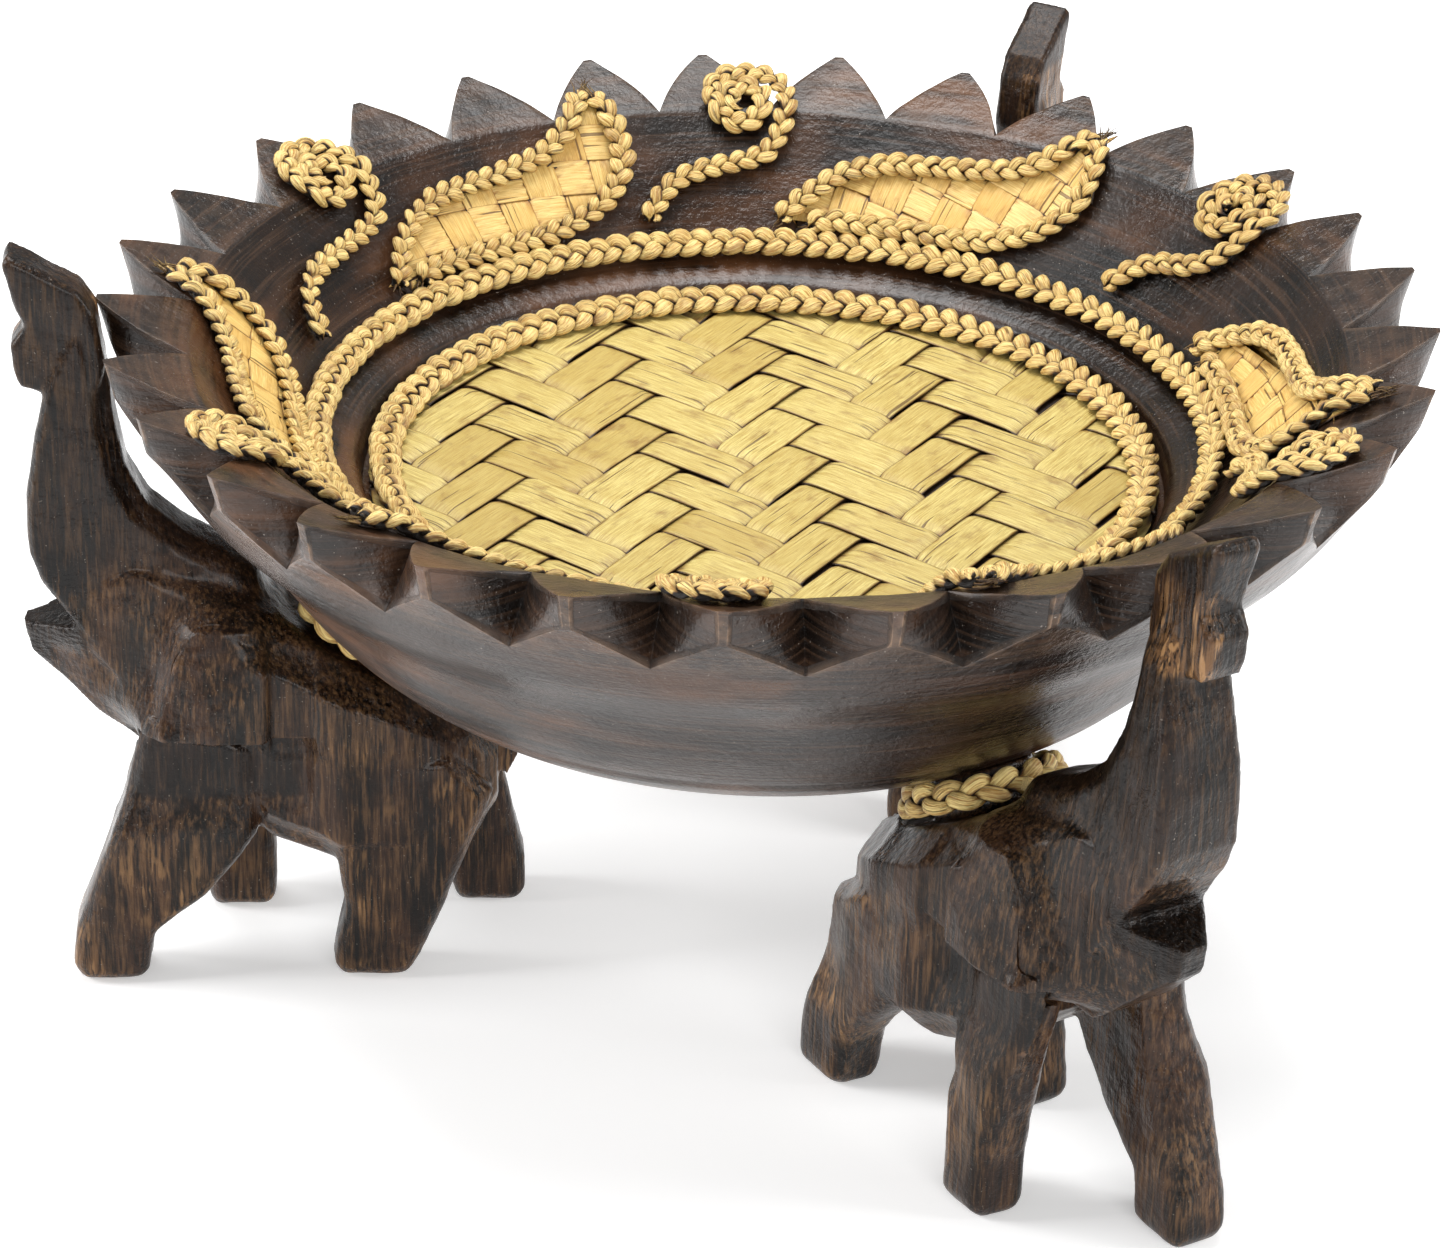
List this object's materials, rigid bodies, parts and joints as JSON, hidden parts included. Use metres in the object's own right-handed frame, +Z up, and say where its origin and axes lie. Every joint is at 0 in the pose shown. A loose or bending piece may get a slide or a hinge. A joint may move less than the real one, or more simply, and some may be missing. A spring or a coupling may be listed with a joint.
{
  "type": "footed display bowl",
  "caption": "Wide shallow dark wood bowl with a toothed rim, lined with woven bamboo and braid, carried on the backs of small carved elephants with raised trunks.",
  "frame": {"origin": "on the bowl's turning axis, at the level of the soles that it stands on", "axes": "+Z up along the bowl's axis, +X towards the right of a viewer who faces +Y; the elephants face outward at about 185, 302 and 65 degrees round +Z from +X"},
  "size_m": [0.3192, 0.3066, 0.1796],
  "materials": {
    "dark_wood": "almost black stain under a satin wax, with brown worn edges",
    "bamboo_weave": "split bamboo strips, honey yellow with brown stain, satin",
    "straw_braid": "flat plant-fibre braid, golden with dark stain in the crevices",
    "screw_steel": "plain zinc-coated steel"
  },
  "bodies": {
    "root": {"bowl": "dark_wood", "weave_panel": "bamboo_weave", "mat_braid": "straw_braid", "wall_braid": "straw_braid", "leaf_panel_1": "bamboo_weave", "leaf_braid_upper_1": "straw_braid", "leaf_braid_lower_1": "straw_braid", "leaf_panel_2": "bamboo_weave", "leaf_braid_upper_2": "straw_braid", "leaf_braid_lower_2": "straw_braid", "leaf_panel_3": "bamboo_weave", "leaf_braid_upper_3": "straw_braid", "leaf_braid_lower_3": "straw_braid", "leaf_panel_4": "bamboo_weave", "leaf_braid_upper_4": "straw_braid", "leaf_braid_lower_4": "straw_braid", "leaf_panel_5": "bamboo_weave", "leaf_braid_upper_5": "straw_braid", "leaf_braid_lower_5": "straw_braid", "leaf_panel_6": "bamboo_weave", "leaf_braid_upper_6": "straw_braid", "leaf_braid_lower_6": "straw_braid", "scroll_braid_1": "straw_braid", "scroll_braid_2": "straw_braid", "scroll_braid_3": "straw_braid", "scroll_braid_4": "straw_braid", "scroll_braid_5": "straw_braid", "scroll_braid_6": "straw_braid", "elephant_1": "dark_wood", "saddle_braid_1": "straw_braid", "screw_1": "screw_steel", "elephant_2": "dark_wood", "saddle_braid_2": "straw_braid", "screw_2": "screw_steel", "elephant_3": "dark_wood", "saddle_braid_3": "straw_braid", "screw_3": "screw_steel"}
  },
  "joints": []
}
